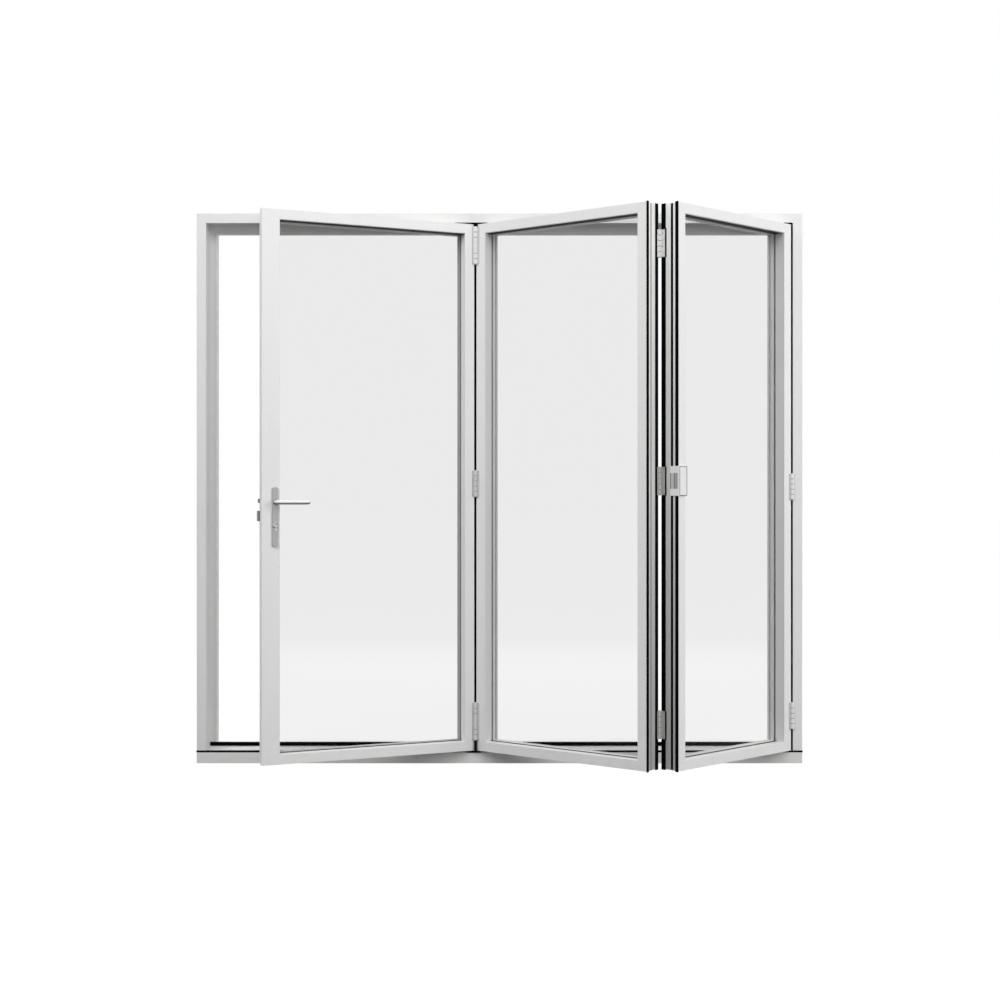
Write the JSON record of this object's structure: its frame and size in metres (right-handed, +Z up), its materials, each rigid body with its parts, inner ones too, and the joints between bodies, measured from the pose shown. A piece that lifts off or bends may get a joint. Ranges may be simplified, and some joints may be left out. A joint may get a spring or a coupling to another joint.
{
  "type": "bifold glass patio door",
  "caption": "Bifold patio door in an outer frame with cill: glazed leaves folded part open towards the outside, with hinges, carriages, seals, lock, lever handle and folding pull.",
  "frame": {"origin": "on the cill's underside, at the middle of its width and half way through the frame's depth", "axes": "+Z up, -Y towards the outside, where the leaves fold, +X to the right as seen from outside"},
  "size_m": [2.362, 0.5623, 2.142],
  "materials": {
    "frame_paint": "satin white powder coat",
    "cill_paint": "satin white powder coat",
    "threshold_metal": "satin",
    "glass": "clear sealed unit",
    "seal_rubber": "matt black",
    "hinge_metal": "satin",
    "handle_metal": "satin silver",
    "lock_metal": "satin"
  },
  "bodies": {
    "door_frame": {"cill": "cill_paint", "threshold": "threshold_metal", "bed_strip": "seal_rubber", "left_jamb": "frame_paint", "right_jamb": "frame_paint", "head": "frame_paint", "stop_seal": "seal_rubber", "upstand_seal": "seal_rubber", "leaf_1_lock_stile": "frame_paint", "leaf_1_hinge_stile": "frame_paint", "leaf_1_top_rail": "frame_paint", "leaf_1_bottom_rail": "frame_paint", "leaf_1_glass": "glass", "leaf_1_glazing_seal": "seal_rubber", "leaf_1_edge_seal": "seal_rubber", "leaf_2_left_stile": "frame_paint", "leaf_2_right_stile": "frame_paint", "leaf_2_top_rail": "frame_paint", "leaf_2_bottom_rail": "frame_paint", "leaf_2_glass": "glass", "leaf_2_glazing_seal": "seal_rubber", "leaf_2_edge_seal": "seal_rubber", "leaf_3_left_stile": "frame_paint", "leaf_3_right_stile": "frame_paint", "leaf_3_top_rail": "frame_paint", "leaf_3_bottom_rail": "frame_paint", "leaf_3_glass": "glass", "leaf_3_glazing_seal": "seal_rubber", "leaf_3_edge_seal": "seal_rubber", "top_carriage_hinge": "hinge_metal", "middle_leaf_hinge": "hinge_metal", "bottom_carriage_hinge": "hinge_metal", "upper_fold_hinge": "hinge_metal", "middle_fold_hinge": "hinge_metal", "lower_fold_hinge": "hinge_metal", "upper_jamb_hinge": "hinge_metal", "lower_jamb_hinge": "hinge_metal", "top_carriage": "hinge_metal", "bottom_carriage": "hinge_metal", "lock_edge_plate": "lock_metal", "key_cylinder": "handle_metal", "front_handle_plate": "handle_metal", "back_handle_plate": "handle_metal", "folding_pull": "frame_paint"},
    "lever": {"lever_handle": "handle_metal"},
    "latch_bolt": {"latch": "lock_metal"},
    "lock_bolt": {"deadbolt": "lock_metal"}
  },
  "joints": [
    {"name": "lever_turn", "type": "hinge", "parent": "door_frame", "child": "lever", "pos_m": [-0.82648, -0.37059, 1.018], "axis": [-0.3972, 0.9178, 0], "range_deg": [0, 35], "stiffness_Nm_per_rad": 1.5, "springref_deg": -28.65},
    {"name": "latch_slide", "type": "slide", "parent": "door_frame", "child": "latch_bolt", "axis": [0.9178, 0.3972, 0], "range_m": [0, 0.011]},
    {"name": "deadbolt_slide", "type": "slide", "parent": "door_frame", "child": "lock_bolt", "axis": [0.9178, 0.3972, 0], "range_m": [0, 0.0125]}
  ],
  "couplings": [
    {"joint": "latch_slide", "follows": "lever_turn", "m_per_rad": 0.017989}
  ]
}
